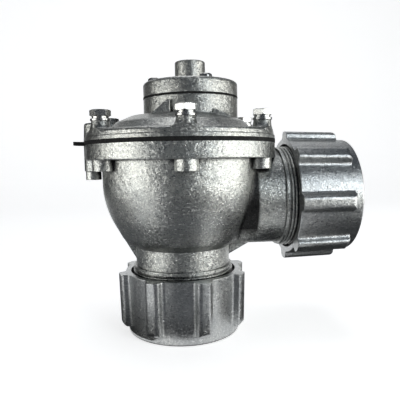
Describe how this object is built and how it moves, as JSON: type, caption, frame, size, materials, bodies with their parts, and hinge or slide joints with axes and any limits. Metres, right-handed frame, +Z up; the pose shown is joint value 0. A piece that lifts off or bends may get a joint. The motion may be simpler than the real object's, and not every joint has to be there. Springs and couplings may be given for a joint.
{
  "type": "pulse valve",
  "caption": "Right-angle diaphragm pulse valve with a remote-pilot cap and compression nuts for plain pipe at both ports.",
  "frame": {"origin": "centre of the outlet nut's outer face, on the outlet's axis", "axes": "+Z up the outlet towards the cap, +X out of the inlet"},
  "size_m": [0.1658, 0.1148, 0.163],
  "materials": {
    "cast_aluminium": "tumbled die casting, satin with fine pits",
    "zinc_steel": "bright zinc plated steel",
    "stainless_screw": "bright stainless steel",
    "black_rubber": "matt black, fabric reinforced",
    "seal_rubber": "matt black nitrile",
    "disc_aluminium": "turned",
    "spring_steel": "drawn wire"
  },
  "bodies": {
    "valve": {"valve_body": "cast_aluminium", "main_cover": "cast_aluminium", "pilot_cap": "cast_aluminium", "main_diaphragm": "black_rubber", "pilot_diaphragm": "black_rubber", "cover_bolts": "zinc_steel", "cover_spring_washers": "zinc_steel", "cover_flat_washers": "zinc_steel", "cap_screws": "stainless_screw", "main_spring": "spring_steel", "pilot_spring": "spring_steel"},
    "main_disc": {"main_seat_rubber": "seal_rubber", "main_seat_disc": "disc_aluminium", "main_retaining_plate": "disc_aluminium", "main_disc_rivet": "disc_aluminium"},
    "pilot_disc": {"pilot_seat_rubber": "seal_rubber", "pilot_seat_disc": "disc_aluminium", "pilot_retaining_plate": "disc_aluminium", "pilot_disc_rivet": "disc_aluminium"},
    "outlet_gland": {"outlet_washer": "zinc_steel", "outlet_seal": "seal_rubber"},
    "outlet_nut": {"outlet_nut": "cast_aluminium"},
    "inlet_gland": {"inlet_washer": "zinc_steel", "inlet_seal": "seal_rubber"},
    "inlet_nut": {"inlet_nut": "cast_aluminium"}
  },
  "joints": [
    {"name": "main_lift", "type": "slide", "parent": "valve", "child": "main_disc", "axis": [0, 0, 1], "range_m": [0, 0.01], "stiffness_N_per_m": 900, "springref_m": -0.012, "deforming": ["main_spring", "main_diaphragm"]},
    {"name": "pilot_lift", "type": "slide", "parent": "valve", "child": "pilot_disc", "axis": [0, 0, 1], "range_m": [0, 0.003], "stiffness_N_per_m": 500, "springref_m": -0.006, "deforming": ["pilot_spring", "pilot_diaphragm"]},
    {"name": "outlet_nut_travel", "type": "slide", "parent": "valve", "child": "outlet_gland", "axis": [0, 0, -1], "range_m": [0, 0.024]},
    {"name": "outlet_nut_turn", "type": "hinge", "parent": "outlet_gland", "child": "outlet_nut", "pos_m": [0, 0, 0.0185], "axis": [0, 0, -1], "range_deg": [0, 4320]},
    {"name": "inlet_nut_travel", "type": "slide", "parent": "valve", "child": "inlet_gland", "axis": [1, 0, 0], "range_m": [-0.0027, 0.0213]},
    {"name": "inlet_nut_turn", "type": "hinge", "parent": "inlet_gland", "child": "inlet_nut", "pos_m": [0.0833, 0, 0.0808], "axis": [1, 0, 0], "range_deg": [-486, 3834]}
  ],
  "couplings": [
    {"joint": "outlet_nut_travel", "follows": "outlet_nut_turn", "m_per_rad": 0.00031831},
    {"joint": "inlet_nut_travel", "follows": "inlet_nut_turn", "m_per_rad": 0.00031831}
  ]
}
